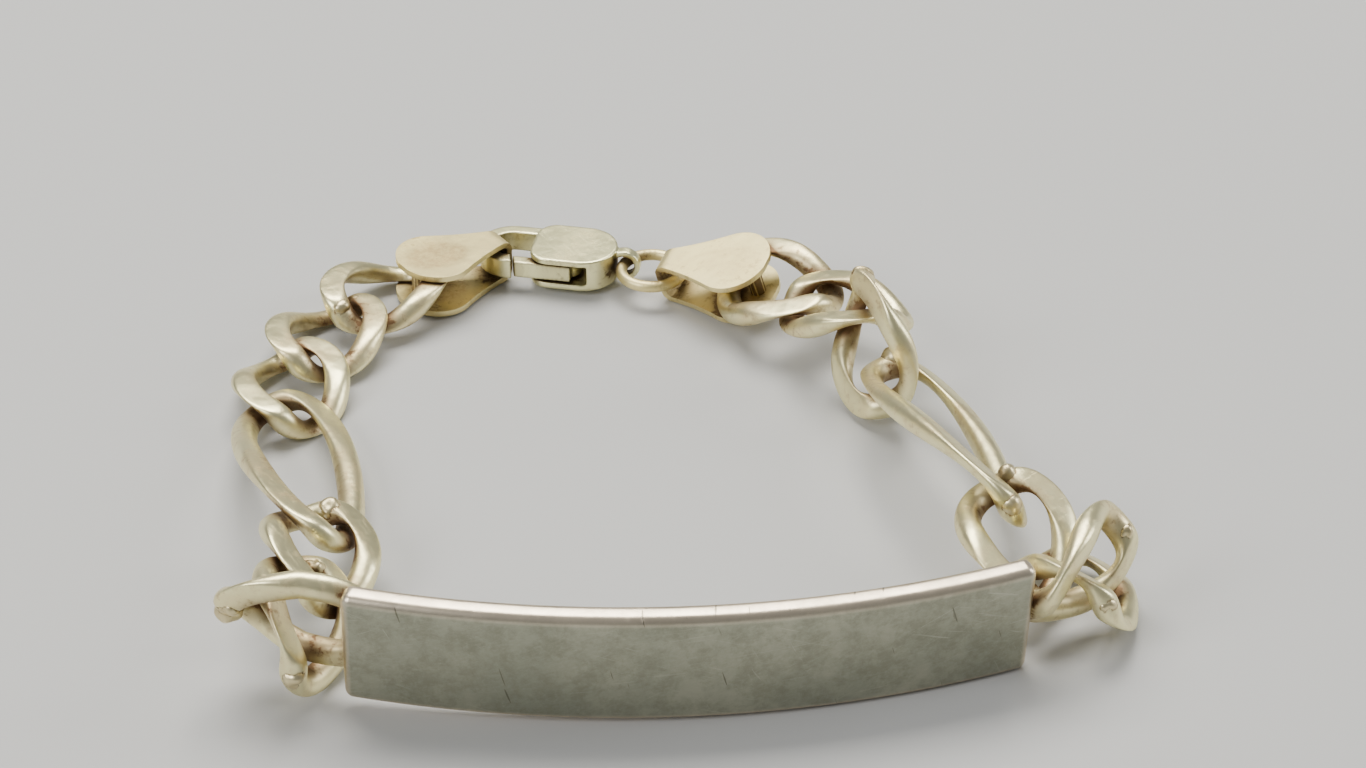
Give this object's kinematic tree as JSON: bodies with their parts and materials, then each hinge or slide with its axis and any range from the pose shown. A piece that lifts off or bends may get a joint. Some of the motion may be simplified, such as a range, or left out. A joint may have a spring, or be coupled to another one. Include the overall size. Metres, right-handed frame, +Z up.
{
  "type": "id bracelet",
  "caption": "Closed silver identity bracelet: bowed blank name plate on edge, figaro curb chain, folded end caps, jump ring and trigger clasp.",
  "frame": {"origin": "on the surface under the middle of the bracelet's bounding box", "axes": "+Z up from the surface, +X along the name plate to its right end, +Y from the plate towards the clasp"},
  "size_m": [0.0638, 0.0585, 0.0107],
  "materials": {
    "plate_silver": "satin tarnished silver with fine scratches",
    "chain_silver": "worn warm silver, ground flats, brown tarnish in the corners",
    "cap_silver": "matt warm silver sheet",
    "clasp_silver": "smooth pale silver"
  },
  "bodies": {
    "bracelet": {"id_plate": "plate_silver", "left_link_1": "chain_silver", "left_link_2": "chain_silver", "left_link_3": "chain_silver", "left_link_4": "chain_silver", "left_link_5": "chain_silver", "left_link_6": "chain_silver", "right_link_1": "chain_silver", "right_link_2": "chain_silver", "right_link_3": "chain_silver", "right_link_4": "chain_silver", "right_link_5": "chain_silver", "right_link_6": "chain_silver", "left_cap": "cap_silver", "right_cap": "cap_silver", "jump_ring": "chain_silver", "clasp_body": "clasp_silver"},
    "lever": {"clasp_lever": "clasp_silver"}
  },
  "joints": [
    {"name": "lever_pivot", "type": "hinge", "parent": "bracelet", "child": "lever", "pos_m": [-0.00764, 0.02485, 0.00185], "axis": [0, 0, -1], "range_deg": [0, 20], "stiffness_Nm_per_rad": 0.002, "springref_deg": -5.73}
  ]
}
